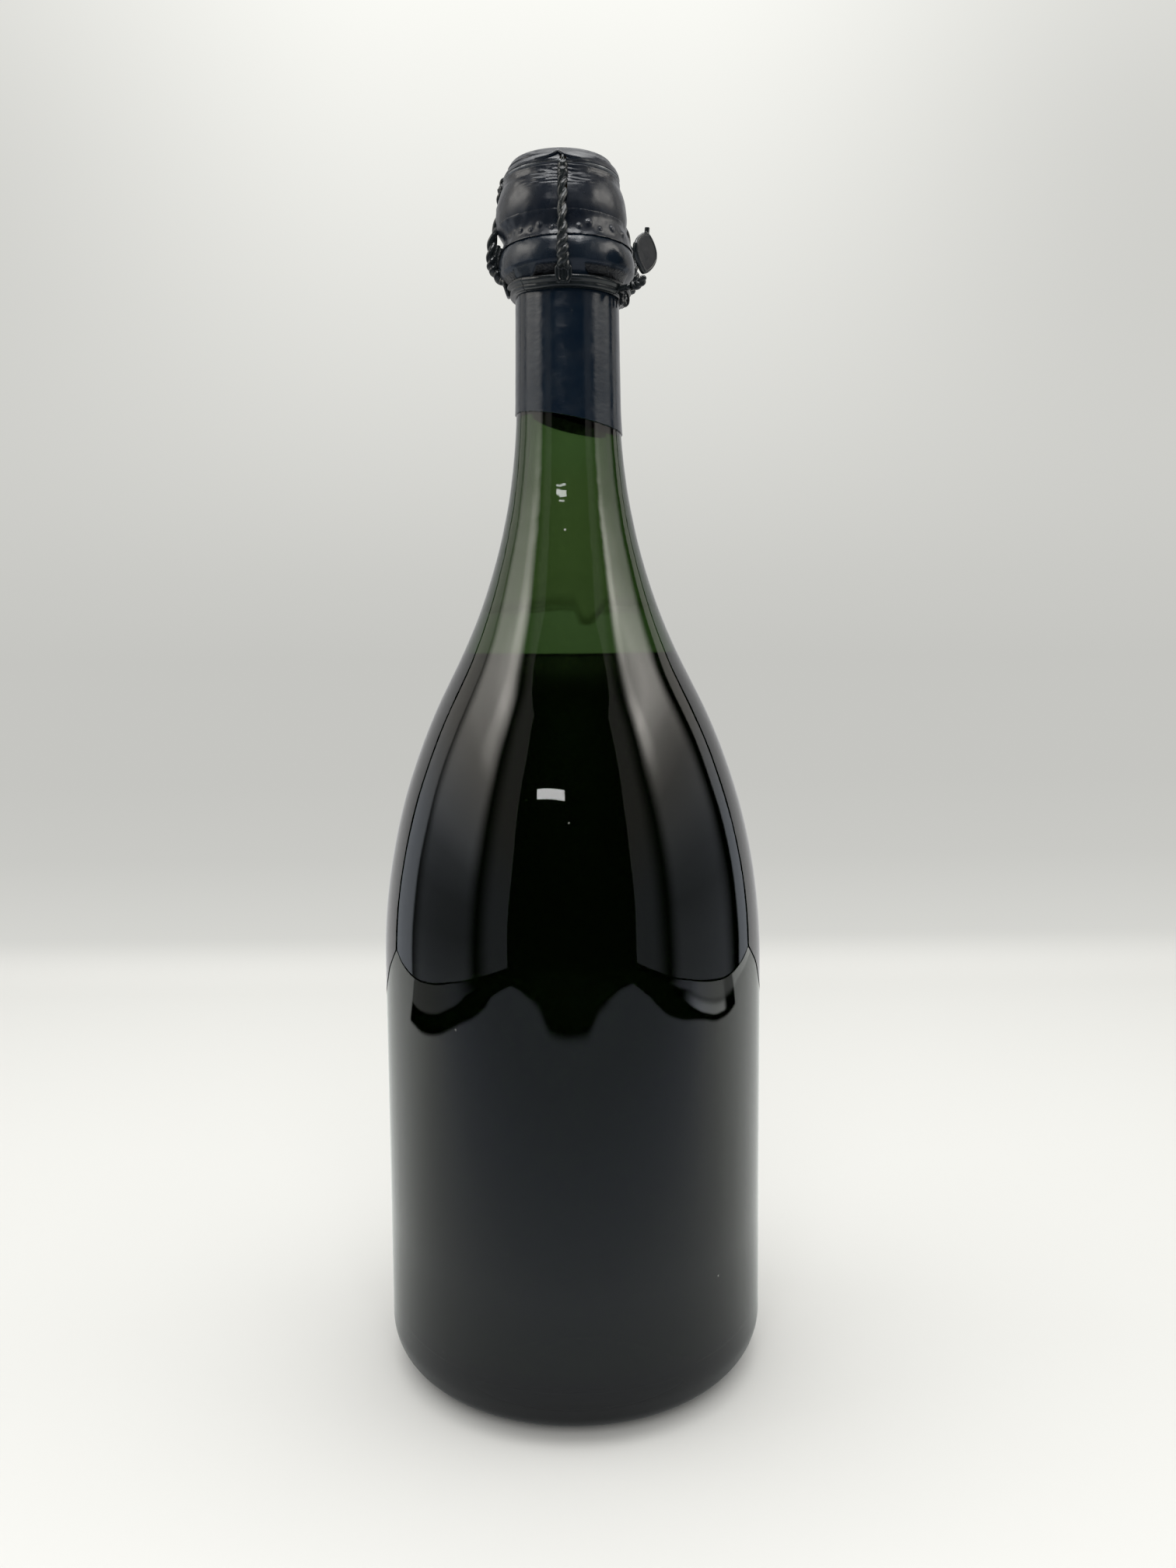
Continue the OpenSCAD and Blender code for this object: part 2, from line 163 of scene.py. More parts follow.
def collarLine(thickness, count=14):  # collar and lip, thickened from the heart of the section
    b = bottleShape
    foot = mouth - b["collarHeight"]
    low = (b["collarRadius"] - 0.25, foot + 5)
    high = (b["collarRadius"] - 0.85, mouth - 2.1)
    lip = (b["neckRadius"] - 0.15, mouth)
    side = bezierPoints(low, (b["collarRadius"] + 0.2, foot + 6.5), (b["collarRadius"] + 0.1, mouth - 3.9), high, count)
    top = bezierPoints(high, (b["collarRadius"] - 1.4, mouth - 0.9), (b["neckRadius"] + 1.2, mouth - 0.15), lip, count)
    heart = Vector((b["neckRadius"] - 0.75, mouth - 6.5))
    line = []
    for point in side + top[1:]:
        away = (Vector(point) - heart).normalized() * thickness
        line.append((point[0] + away.x, point[1] + away.y))
    return line


def dome(height, edge, lift=0, count=24):
    return [(edge * i / count, lift + height * math.cos(math.pi / 2 * i / count)) for i in range(count)]


# Turned forms: one vertex is extruded along the outline and spun round the axis

def lathe(name, line, steps=192, fromDeg=0, toDeg=360):
    start = math.radians(fromDeg)
    spots = [Vector((r * math.sin(start), -r * math.cos(start), z)) * mm for r, z in line]
    deselectAll()
    bpy.ops.mesh.primitive_plane_add(size=mm)
    piece = bpy.context.object
    piece.name = name
    bpy.ops.object.mode_set(mode="EDIT")
    bpy.ops.mesh.merge(type="CENTER")
    bpy.ops.transform.translate(value=spots[0])
    for here, there in zip(spots, spots[1:]):
        bpy.ops.mesh.extrude_vertices_move(TRANSFORM_OT_translate={"value": there - here})
    bpy.ops.mesh.select_all(action="SELECT")
    bpy.ops.mesh.spin(steps=steps, angle=math.radians(fromDeg - toDeg), center=(0, 0, 0), axis=(0, 0, 1))
    bpy.ops.mesh.select_all(action="SELECT")
    bpy.ops.mesh.remove_doubles(threshold=0.000002)
    if toDeg - fromDeg < 360:
        bpy.ops.mesh.fill_holes(sides=0)
    bpy.ops.mesh.select_all(action="SELECT")
    bpy.ops.mesh.normals_make_consistent(inside=False)
    bpy.ops.object.mode_set(mode="OBJECT")
    bpy.ops.object.shade_smooth()
    return piece


# Wires: a path with a round section, turned into a mesh

def wireAlong(name, points, radius, closed=False, radii=None):
    deselectAll()
    bpy.ops.curve.primitive_nurbs_path_add()
    wire = bpy.context.object
    wire.name = name
    wire.data.splines.clear()
    path = wire.data.splines.new("POLY")
    path.points.add(len(points) - 1)
    for i, (spot, place) in enumerate(zip(path.points, points)):
        spot.co = (*(place * mm), 1)
        spot.radius = radii[i] if radii else 1
    path.use_cyclic_u = closed
    wire.data.dimensions = "3D"
    wire.data.bevel_depth = radius * mm
    wire.data.bevel_resolution = 3
    wire.data.use_fill_caps = not closed
    bpy.ops.object.convert(target="MESH")
    return bpy.context.object


def waxBlob(name, place, size, stretch=(1, 1, 1)):  # a lump of wax, shaped from a ball
    deselectAll()
    bpy.ops.mesh.primitive_ico_sphere_add(subdivisions=3, radius=size * mm, location=place * mm)
    blob = bpy.context.object
    blob.name = name
    blob.scale = stretch
    bpy.ops.object.transform_apply(location=True, rotation=True, scale=True)
    return blob


def fuse(name, parts, voxel=0.13, smoothing=3):  # several wires and lumps under one coat of wax
    activate(parts[0], *parts[1:])
    if len(parts) > 1:
        bpy.ops.object.join()
    piece = bpy.context.object
    piece.name = name
    applyModifier(piece, "REMESH", mode="VOXEL", voxel_size=voxel * mm, use_smooth_shade=True)
    applyModifier(piece, "SMOOTH", factor=0.5, iterations=smoothing)
    activate(piece)
    bpy.ops.object.shade_smooth()
    return piece


def ruffle(piece, size, strength, middle=0.5, group="", detail=2):  # uneven surface, size and strength in millimetres
    cloud = bpy.data.textures.new(piece.name + "Ruffle", "CLOUDS")
    cloud.noise_scale = size * mm
    cloud.noise_depth = detail
    applyModifier(piece, "DISPLACE", texture=cloud, texture_coords="LOCAL", strength=strength * mm,
                  mid_level=middle, vertex_group=group)


def weigh(piece, name, weightOf):  # vertex group whose weights follow a rule
    group = piece.vertex_groups.new(name=name)
    for vertex in piece.data.vertices:
        weight = weightOf(vertex)
        if weight > 0:
            group.add([vertex.index], weight, "REPLACE")


def dress(piece, body, slot, finish, *nodes):  # where a piece rides, what it stands for and its finish; slot is not used
    piece.data.materials.clear()
    piece.data.materials.append(finish)
    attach(piece, body)
    if nodes:
        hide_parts(*nodes)


# Shader arithmetic

class Channel:  # a socket that can stand in an expression
    def __init__(self, finish, socket):
        self.finish = finish
        self.socket = socket

    def maths(self, operation, first, second):
        return self.finish.node("ShaderNodeMath", {"operation": operation}, {0: first, 1: second})

    def __add__(self, other):
        return self.maths("ADD", self, other)

    def __radd__(self, other):
        return self.maths("ADD", other, self)

    def __sub__(self, other):
        return self.maths("SUBTRACT", self, other)

    def __rsub__(self, other):
        return self.maths("SUBTRACT", other, self)

    def __mul__(self, other):
        return self.maths("MULTIPLY", self, other)

    def __rmul__(self, other):
        return self.maths("MULTIPLY", other, self)

    def __pow__(self, other):
        return self.maths("POWER", self, other)


class Finish:  # a material under construction
    def __init__(self, name):
        self.material = bpy.data.materials.new(name)
        self.material.use_nodes = True
        self.tree = self.material.node_tree
        self.tree.nodes.clear()
        self.place = self.node("ShaderNodeTexCoord", output="Object")

    def node(self, kind, settings=None, inputs=None, output=0):
        made = self.tree.nodes.new(kind)
        for key, value in (settings or {}).items():
            if key == "stops":
                for i, (position, colour) in enumerate(value):
                    stop = made.color_ramp.elements[i] if i < 2 else made.color_ramp.elements.new(position)
                    stop.position = position
                    stop.color = colour
            else:
                setattr(made, key, value)
        for key, value in (inputs or {}).items():
            if isinstance(value, Channel):
                self.tree.links.new(value.socket, made.inputs[key])
            else:
                made.inputs[key].default_value = value
        return Channel(self, made.outputs[output])

    def noise(self, scale, detail=3, roughness=0.5, place=None, output=0):
        return self.node("ShaderNodeTexNoise", None, {
            "Vector": place or self.place, "Scale": scale, "Detail": detail, "Roughness": roughness}, output)

    def stretched(self, factors):  # the object's coordinates, scaled on each axis
        return self.node("ShaderNodeMapping", None, {"Vector": self.place, "Scale": factors})

    def step(self, value, low, high, kind="SMOOTHSTEP"):
        return self.node("ShaderNodeMapRange", {"interpolation_type": kind},
                         {"Value": value, "From Min": low, "From Max": high})

    def mix(self, factor, first, second):
        return self.node("ShaderNodeMix", {"data_type": "RGBA"}, {0: factor, 6: first, 7: second}, 2)

    def axis(self, letter):
        return self.node("ShaderNodeSeparateXYZ", None, {0: self.place}, letter)

    def bump(self, height, strength, distance, normal=None):
        inputs = {"Height": height, "Strength": strength, "Distance": distance * mm}
        if normal:
            inputs["Normal"] = normal
        return self.node("ShaderNodeBump", None, inputs)

    def close(self, surface, volume=None):
        end = self.tree.nodes.new("ShaderNodeOutputMaterial")
        self.tree.links.new(surface.socket, end.inputs["Surface"])
        if volume:
            self.tree.links.new(volume.socket, end.inputs["Volume"])
        return self.material


def greenGlass():
    f = Finish("greenGlass")
    height = f.axis("Z")
    tint = f.mix(f.step(f.noise(45), 0.35, 0.7), (1, 1, 1, 1), (0.93, 0.95, 0.88, 1))
    side = f.axis("X")
    run = f.step(side, 0.0008, 0.0032) * (1 - f.step(side, 0.0045, 0.009))  # where the dried film ran down
    tide = height + f.noise(70, 2) * 0.005 + run * 0.0038
    film = f.step(tide, 0.193, 0.1934) * f.step(0.23 - height, 0, 0.01)
    tint = f.mix(film * 0.5, tint, (0.9, 0.86, 0.75, 1))
    tint = f.mix(film * (1 - f.step(tide, 0.1936, 0.1962)) * 0.7, tint, (0.5, 0.52, 0.42, 1))
    ripple = f.noise(1, 2, 0.5, f.stretched((70, 70, 14)))
    waves = f.noise(190, 2) * f.step(height, 0.197, 0.207) * (1 - f.step(height, 0.222, 0.234))
    normal = f.bump(ripple, 0.35, 0.25)
    normal = f.bump(waves, 0.5, 0.16, normal)
    glass = f.node("ShaderNodeBsdfPrincipled", None, {
        "Base Color": tint, "Roughness": 0.015, "IOR": 1.52, "Transmission Weight": 1, "Normal": normal})
    cells = f.node("ShaderNodeTexVoronoi", {"feature": "F1"}, {"Vector": f.place, "Scale": 85})
    dust = (1 - f.step(cells, 0.018, 0.03)) * f.step(f.noise(24, 1), 0.55, 0.62)
    speck = f.node("ShaderNodeBsdfPrincipled", None, {"Base Color": (0.35, 0.36, 0.33, 1), "Roughness": 0.8})
    surface = f.node("ShaderNodeMixShader", None, {0: dust * 0.6, 1: glass, 2: speck})
    depth = f.node("ShaderNodeVolumeAbsorption", None, {"Color": (0.18, 0.37, 0.05, 1), "Density": 500})
    return f.close(surface, depth)


def stillWine():
    f = Finish("stillWine")
    haze = f.mix(f.noise(60), (1, 0.99, 0.95, 1), (0.96, 0.95, 0.88, 1))
    wine = f.node("ShaderNodeBsdfPrincipled", None, {
        "Base Color": haze, "Roughness": 0, "IOR": 1.345, "Transmission Weight": 1})
    depth = f.node("ShaderNodeVolumeAbsorption", None, {"Color": (0.375, 0.24, 0.1, 1), "Density": 115})
    return f.close(wine, depth)


def blackWax(name, wrinkles, gloss, dark, pale, dullFrom=None, foldsFrom=None, shadeGapAt=None):
    f = Finish(name)  # wrinkles 0 to 1, gloss is the lowest roughness, heights in millimetres
    clouds = f.noise(160, 4, 0.6)
    tone = f.mix(f.step(clouds, 0.3, 0.75), dark, pale)
    worn = f.step(f.noise(420, 3, 0.65), 0.62, 0.8)
    tone = f.mix(worn * 0.25, tone, (0.03, 0.034, 0.036, 1))
    rough = gloss + 0.16 * f.step(f.noise(230, 3), 0.35, 0.8) + worn * 0.12
    if dullFrom:
        rough = rough + 0.1 * f.step(f.axis("Z"), dullFrom * mm, (dullFrom + 4) * mm)
    folds = f.noise(1, 3, 0.55, f.stretched((260, 260, 520)))
    pits = f.noise(1500, 3, 0.6)
    if foldsFrom:
        upper = 0.12 + 0.88 * f.step(f.axis("Z"), foldsFrom * mm, (foldsFrom + 3) * mm)
        folds, pits = folds * upper, pits * upper
    normal = f.bump(folds, 0.25 + 0.5 * wrinkles, 0.25)
    normal = f.bump(pits, 0.12 + 0.25 * wrinkles, 0.04, normal)
    if shadeGapAt:  # painted shade: near-black patches in the gap under the collar, above the belt, with rough wax crumbs
        band = f.step(f.axis("Z"), (shadeGapAt - 2) * mm, (shadeGapAt - 1.4) * mm) * (
            1 - f.step(f.axis("Z"), (shadeGapAt + 1) * mm, (shadeGapAt + 1.7) * mm))
        shadeAndCrumbs = band * f.step(f.noise(75, 1), 0.5, 0.53)
        # painted shade: the patches are darkened almost to black
        tone = f.mix(shadeAndCrumbs, tone, (0.001, 0.0012, 0.0016, 1))
        normal = f.bump(f.noise(1300, 2, 0.7) * shadeAndCrumbs, 0.9, 0.35, normal)
    wax = f.node("ShaderNodeBsdfPrincipled", None, {
        "Base Color": tone, "Roughness": rough, "IOR": 1.46, "Normal": normal})
    return f.close(wax)


def corkGrain():
    f = Finish("corkGrain")
    grains = f.node("ShaderNodeTexVoronoi", {"feature": "F1"}, {"Vector": f.place, "Scale": 620}, "Color")
    edges = f.node("ShaderNodeTexVoronoi", {"feature": "DISTANCE_TO_EDGE"}, {"Vector": f.place, "Scale": 620})
    shade = f.node("ShaderNodeSeparateColor", None, {0: grains})
    tone = f.mix(shade, (0.38, 0.22, 0.1, 1), (0.66, 0.46, 0.26, 1))
    seams = 1 - f.step(edges, 0.0, 0.12)
    tone = f.mix(seams * 0.6, tone, (0.16, 0.08, 0.035, 1))
    spots = f.step(f.noise(900, 2), 0.62, 0.72)
    tone = f.mix(spots * 0.7, tone, (0.12, 0.06, 0.03, 1))
    normal = f.bump(seams + spots, 0.5, -0.15)
    return f.close(f.node("ShaderNodeBsdfPrincipled", None, {
        "Base Color": tone, "Roughness": 0.78 + 0.12 * f.noise(500), "Normal": normal}))


def naturalCork():
    f = Finish("naturalCork")
    bands = f.noise(1, 4, 0.6, f.stretched((260, 60, 60)))
    tone = f.mix(f.step(bands, 0.3, 0.7), (0.42, 0.26, 0.13, 1), (0.7, 0.5, 0.3, 1))
    pores = f.step(f.noise(1, 3, 0.6, f.stretched((900, 260, 900))), 0.62, 0.7)
    tone = f.mix(pores * 0.8, tone, (0.1, 0.05, 0.025, 1))
    normal = f.bump(pores, 0.6, -0.2)
    return f.close(f.node("ShaderNodeBsdfPrincipled", None, {
        "Base Color": tone, "Roughness": 0.8 + 0.1 * bands, "Normal": normal}))


def metal(name, colour, low):
    f = Finish(name)
    stain = f.step(f.noise(300, 4, 0.6), 0.45, 0.75)
    tone = f.mix(stain, colour, tuple(c * 0.35 for c in colour[:3]) + (1,))
    scratches = f.noise(1, 2, 0.5, f.stretched((2200, 500, 2200)))
    normal = f.bump(scratches, 0.15, 0.03)
    return f.close(f.node("ShaderNodeBsdfPrincipled", None, {
        "Base Color": tone, "Metallic": 1 - 0.5 * stain, "Roughness": low + 0.25 * stain, "Normal": normal}))


glassFinish = greenGlass()
wineFinish = stillWine()
# the last height is where painted shade darkens the gap between collar and belt
neckWaxFinish = blackWax("neckWaxBlack", 0, 0.12, (0.0025, 0.0062, 0.0125, 1), (0.005, 0.0095, 0.016, 1), mouth - 12, None,
                         mouth - 9.8)
headWaxFinish = blackWax("headWaxBlack", 0.6, 0.24, (0.0022, 0.0042, 0.0085, 1), (0.005, 0.0078, 0.0135, 1), None, mouth + 9)
wireWaxFinish = blackWax("waxedWire", 0.1, 0.15, (0.004, 0.0056, 0.0066, 1), (0.01, 0.0125, 0.0135, 1))
filmFinish = blackWax("waxFilm", 0.1, 0.5, (0.004, 0.0052, 0.007, 1), (0.007, 0.009, 0.0115, 1))
print("finishes made")

# Glass

def makeGlass():
    b = bottleShape
    footRadius = bodyRadius - b["heelRadius"]
    footInner = footRadius - b["footWidth"]
    innerHeel = b["heelRadius"] - b["wall"]
    innerFloor = bodyRadius - b["wall"] - innerHeel
    outside = [(footInner, 0)] + arcPoints((footRadius, b["heelRadius"]), b["heelRadius"], -90, 0, 20)
    outside += evenLine(shoulderLine(0, 0), 2) + [(b["neckTopRadius"], mouth - b["collarHeight"])]
    outside += collarLine(0) + [(b["boreRadius"] + 0.4, mouth), (b["boreRadius"], mouth - 0.4)]
    outside = outside[:21] + evenLine(outside[20:22], 3)[1:-1] + outside[21:]
    inside = arcPoints((innerFloor, b["floor"] + innerHeel), innerHeel, -90, 0, 12)
    inside += evenLine(shoulderLine(b["wall"], b["neckRadius"] - b["boreRadius"]), 3)
    under = dome(b["puntHeight"], footInner)
    over = dome(b["puntHeight"] - 2, innerFloor, b["floor"])
    glass = lathe("bottleGlass", under + outside + inside[::-1] + over[::-1], steps=224)

    def outer(vertex):
        x, y, z = vertex.co / mm
        away = vertex.normal.x * x + vertex.normal.y * y
        return smoothStep(z, 6, 20) * (1 - smoothStep(z, 215, 229)) if away > 0 else 0
    weigh(glass, "outer", outer)
    ruffle(glass, 26, 0.22, 1, "outer", 1)
    dress(glass, "bottle", "green_glass", glassFinish, "bottle_glass")


def makeWine():
    b = bottleShape
    soak = 0.12  # the wine reaches this far into the glass, so that no film of air shows between them
    innerHeel = b["heelRadius"] - b["wall"]
    innerFloor = bodyRadius - b["wall"] - innerHeel
    wall = arcPoints((innerFloor, b["floor"] + innerHeel), innerHeel + soak, -90, 0, 12)
    wall += evenLine(shoulderLine(b["wall"] - soak, b["neckRadius"] - b["boreRadius"] - soak), 3)
    edge = radiusAt(wall, wineTop)
    climb = 1.1  # the wine climbs the glass a little
    surface = [(edge - 0.7, wineTop + climb), (edge - 1.4, wineTop + 0.45), (edge - 2.3, wineTop + 0.12),
               (edge - 3.6, wineTop), (edge * 0.5, wineTop), (0, wineTop)]
    line = dome(b["puntHeight"] - 2, innerFloor, b["floor"] - soak)
    line += [p for p in wall if p[1] < wineTop + climb] + surface
    wine = lathe("wineFill", line, steps=160)
    dress(wine, "bottle", "wine", wineFinish, "wine")


def makeNeckWax():
    b = bottleShape
    start = waxShape["dipHeight"] - 7
    bare = shoulderLine(0, 0)
    line = [(radiusAt(bare, start) + waxShape["neck"], start)]
    line += [(r + waxShape["neck"], z) for r, z in bare if z > start]
    line += [(b["neckTopRadius"] + waxShape["neck"], mouth - b["collarHeight"] + 0.15)]
    line += collarLine(waxShape["neck"])
    wax = lathe("neckWax", evenLine(line, 0.6), steps=224)
    slope = math.radians(waxShape["dipSlope"])
    bpy.ops.object.mode_set(mode="EDIT")
    bpy.ops.mesh.select_all(action="SELECT")
    bpy.ops.mesh.bisect(plane_co=(0, 0, waxShape["dipHeight"] * mm),
                        plane_no=(math.sin(slope), 0, math.cos(slope)), clear_inner=True)
    bpy.ops.object.mode_set(mode="OBJECT")
    weigh(wax, "collar", lambda v: smoothStep(v.co.z / mm, mouth - 13, mouth - 9) * (1 - smoothStep(v.co.z / mm, mouth - 1.6, mouth - 0.6)))
    ruffle(wax, 3.2, 0.22, 0.75, "collar")
    ruffle(wax, 14, 0.12, 0.8)
    applyModifier(wax, "SOLIDIFY", thickness=(waxShape["neck"] + 0.03) * mm, offset=-1, use_even_offset=True)
    activate(wax)
    bpy.ops.object.shade_smooth_by_angle(angle=math.radians(50))
    dress(wax, "bottle", "black_wax", neckWaxFinish, "neck_wax")


makeGlass()
makeWine()
makeNeckWax()
print("glass, wine and neck wax made")

# Wire hood

def hingeRadius(turn):  # from the bottle's axis to the ring wire, which sits with the head a little to -X
    a, shift = math.radians(turn), hoodShape["headShift"]
    return math.sqrt(hoodShape["ringRadius"] ** 2 - (shift * math.cos(a)) ** 2) - shift * math.sin(a)


def legLine(side):  # radius and height from the mouth
    tuck = hoodShape["tucks"][side]
    top = (hingeRadius(hoodShape["turns"][side]) + 0.85, 13.4)
    high = 15.8 - 1.5 * tuck
    return [top, ((top[0] + high) / 2 + 0.1, 10.9), (high, 8.5), (16.6 - 1.4 * tuck, 5.2),
            (18.1 - 1.3 * tuck, 0.8), (18.4 - 0.8 * tuck, -2.4), (18.2 - 0.3 * tuck, -4.6)]


footLine = [(18.2, -4.4), (17.9, -6.4), (17.15, -8.0), (16.0, -9.6), (15.45, -11.1), (14.95, -12.6)]


def twistedPair(name, line, turn, twistDeg, offset, strand, rings=90, swell=0):  # two strands wound round one path
    strands = []
    side = Vector((math.cos(math.radians(turn)), math.sin(math.radians(turn)), 0))
    path = [splinePoint(line, i / rings) for i in range(rings + 1)]
    middle = [upright(turn, p.x, mouth + p.y) for p in path]
    fuller = [1 + swell * smoothStep(i / rings, 0.5, 0.78) for i in range(rings + 1)]  # thicker wax towards the end
    for half in (0, math.pi):
        points = []
        for i, spot in enumerate(middle):
            along = (middle[min(i + 1, rings)] - middle[max(i - 1, 0)]).normalized()
            across = side.cross(along)
            a = half + math.radians(twistDeg) * i / rings
            points.append(spot + offset * fuller[i] * (math.cos(a) * across + math.sin(a) * side))
        strands.append(wireAlong(name, points, strand, radii=fuller))
    return strands


def raiseLeft(piece):  # the belt sits a little higher and closer on the left
    for vertex in piece.data.vertices:
        share = smoothStep(-vertex.co.x / mm, 6, 15) * (1 - smoothStep(vertex.co.z / mm, mouth - 9, mouth - 4))
        vertex.co += Vector((0.7, 0, 1.0)) * share * mm


def makeLeg(side):
    h = hoodShape
    turn = h["turns"][side]
    line = legLine(side)
    rope = line + footLine[1:4]
    parts = twistedPair("strand", rope, turn, 360 * h["legTwists"], h["strandOffset"], h["strand"], 110, 0.25)
    core = [splinePoint(rope, i / 40) for i in range(41)]
    parts.append(wireAlong("core", [upright(turn, p.x, mouth + p.y) for p in core], 0.62))
    bond = [(line[4][0] - 1.4, 0.2), (16.8, -0.5), (17.0, -1.2), (17.25, -2.2), (17.3, -4), (17.2, -5.8),
            (16.7, -7.4), (15.9, -8.9)]  # wax between leg and collar
    bond = [splinePoint(bond, i / 16) for i in range(17)]
    parts.append(wireAlong("bond", [upright(turn, p.x, mouth + p.y) for p in bond], 0.7))
    bond = [splinePoint([(15.8, -0.5), (16.2, -1.6), (16.6, -3.2), (16.7, -5.2), (16.4, -6.8), (15.6, -8.6)], i / 12) for i in range(13)]
    parts.append(wireAlong("bond", [upright(turn, p.x, mouth + p.y) for p in bond], 0.62))
    count = 20
    sides = []
    for sign in (1, -1):
        sides.append([upright(turn, *(splinePoint(footLine, 0.46 + 0.42 * i / count) + Vector((0, mouth))),
                              sign * h["footHalfWidth"] * min(1, 0.35 + 1.6 * i / count)) for i in range(count + 1)])
    low = splinePoint(footLine, 1)
    round_ = [upright(turn, low.x, mouth + low.y, s) for s in (0.95, 0.35, -0.35, -0.95)]
    parts.append(wireAlong("foot", sides[0] + round_ + sides[1][::-1], h["footWire"]))
    for side_ in (-0.75, 0, 0.75):
        webLine = [splinePoint(footLine, 0.46 + 0.5 * i / 12) for i in range(13)]
        parts.append(wireAlong("web", [upright(turn, p.x - 0.45, mouth + p.y, side_) for p in webLine], 0.62))
    eye = [upright(turn, hingeRadius(turn) + h["eyeRadius"] * math.cos(a), mouth + 14.7 + h["eyeRadius"] * math.sin(a))
           for a in (math.radians(20 * k) for k in range(18))]
    parts.append(wireAlong("eye", eye, h["eyeWire"], closed=True))
    flat = 0.6 if side == "left" else 0  # the wax lies flatter on the left
    for place, size in (((line[0][0] + 0.35, 13.3), 1.25), ((line[1][0] - 0.1, 11.7), 1.3)):  # lumps of wax over the eye
        parts.append(waxBlob("lump", upright(turn, place[0] - flat, mouth + place[1]), size))
    name = "leg" + side.title()
    leg = fuse(name, parts, 0.12, 3)
    ruffle(leg, 1.6, 0.05, detail=1)
    raiseLeft(leg)
    dress(leg, "leg_" + side, "waxed_wire", wireWaxFinish, "hood_leg_" + side)


def between(first, second):
    return (first + second) / 2


def makeBelt(side, fromDeg, toDeg):
    h = hoodShape
    low, high = [(r, mouth + z) for r, z in (h["beltLow"], h["beltHigh"])]
    section = [(12.9, mouth - 13.35), (13.1, mouth - 13.6), (13.4, mouth - 13.55)]  # wax runs out on the neck
    section += arcPoints(low, h["beltWire"], 245, 385, 8) + arcPoints(high, h["beltWire"], -25, 145, 10)
    section.append(section[0])
    seam = 0.03  # degrees left open at each end
    belt = lathe("beltArc", section, 72, fromDeg + seam, toDeg - seam)
    parts = [belt]
    if side == "right":
        turn = h["loopTurn"]
        root = [upright(turn, r, mouth + h["foldHeight"]) for r in (14.4, 15.4, 16.4, h["foldRadius"])]
        parts.append(wireAlong("root", root, h["knuckle"] - 0.05))
        parts.append(waxBlob("knuckle", root[-1], h["knuckle"]))
    belt = fuse("belt" + side.title(), parts, 0.14, 5)
    ruffle(belt, 3, 0.06, 0.6, detail=1)
    raiseLeft(belt)
    dress(belt, "leg_" + side, "waxed_wire", wireWaxFinish, "belt_" + side)


for side in hoodShape["turns"]:
    makeLeg(side)
turns = list(hoodShape["turns"].values())
corners = [between(a, b) for a, b in zip([turns[-1] - 360] + turns, turns + [turns[0] + 360])]
for i, side in enumerate(hoodShape["turns"]):
    makeBelt(side, corners[i], corners[i + 1])
print("legs and belt made")


def makeClosing():
    h = hoodShape
    turn = h["loopTurn"]
    stem = [(18.15, -12.3), (19.5, -12.4), (20.8, -11.9), (21.45, -10.7)]
    stemPiece = fuse("closingStem", twistedPair("stemStrand", stem, turn, 540, 0.48, 0.55, 40), 0.12, 2)
    dress(stemPiece, "fold_stem", "waxed_wire", wireWaxFinish, "closing_stem")

    height = h["loopHeight"] - 2 * h["loopWire"]
    half = h["loopWidth"] / 2 - h["loopWire"]
    lean = math.radians(h["loopLean"])

    def rim(t, grow=1):
        return grow * half * math.sin(math.pi * t ** 1.08) ** 0.7 if 0 < t < 1 else 0

    def inLoop(length, side=0):  # the loop leans outwards at its top
        return upright(turn, h["loopRadius"] + length * math.sin(lean), mouth + h["loopLow"] + length * math.cos(lean), side)

    def onRim(t, side, grow=1):
        return inLoop(h["loopWire"] + height * t, side * rim(t, grow))
    shares = [0.5 - 0.5 * math.cos(math.pi * i / 32) for i in range(33)]
    ring = [onRim(t, 1) for t in shares] + [onRim(t, -1) for t in shares[-2:0:-1]]
    loop = wireAlong("loopRim", ring, h["loopWire"] - 0.1, closed=True)
    ribbon = wireAlong("ribbon", [onRim(0.62 * (1 - k / 12), -1) for k in range(13)], 0.72)  # its near side is thick with wax
    stub = wireAlong("stub", [inLoop(h["loopHeight"] + z) for z in (-0.8, 0, 0.9)], 0.6)
    loop = fuse("closingLoop", [loop, ribbon, stub], 0.12, 3)
    ruffle(loop, 1.6, 0.06, detail=1)
    dress(loop, "twist_loop", "waxed_wire", wireWaxFinish, "closing_loop")

    deselectAll()
    bpy.ops.mesh.primitive_circle_add(vertices=64, radius=mm, fill_type="NGON")
    film = bpy.context.object
    film.name = "loopFilm"
    for vertex in film.data.vertices:
        share = 2 * abs(math.atan2(vertex.co.x, vertex.co.y)) / (2 * math.pi)
        t = 1 - share
        sign = 1 if vertex.co.x >= 0 else -1
        vertex.co = onRim(t, sign, 0.96) * mm
    bpy.ops.object.mode_set(mode="EDIT")
    bpy.ops.mesh.select_all(action="SELECT")
    for _ in range(4):
        bpy.ops.mesh.inset(thickness=0.00055)
    bpy.ops.object.mode_set(mode="OBJECT")
    applyModifier(film, "SOLIDIFY", thickness=0.7 * mm, offset=0)
    applyModifier(film, "BEVEL", width=0.15 * mm, segments=2)
    activate(film)
    bpy.ops.object.shade_smooth_by_angle(angle=math.radians(50))
    dress(film, "twist_loop", "black_wax", filmFinish, "loop_film")


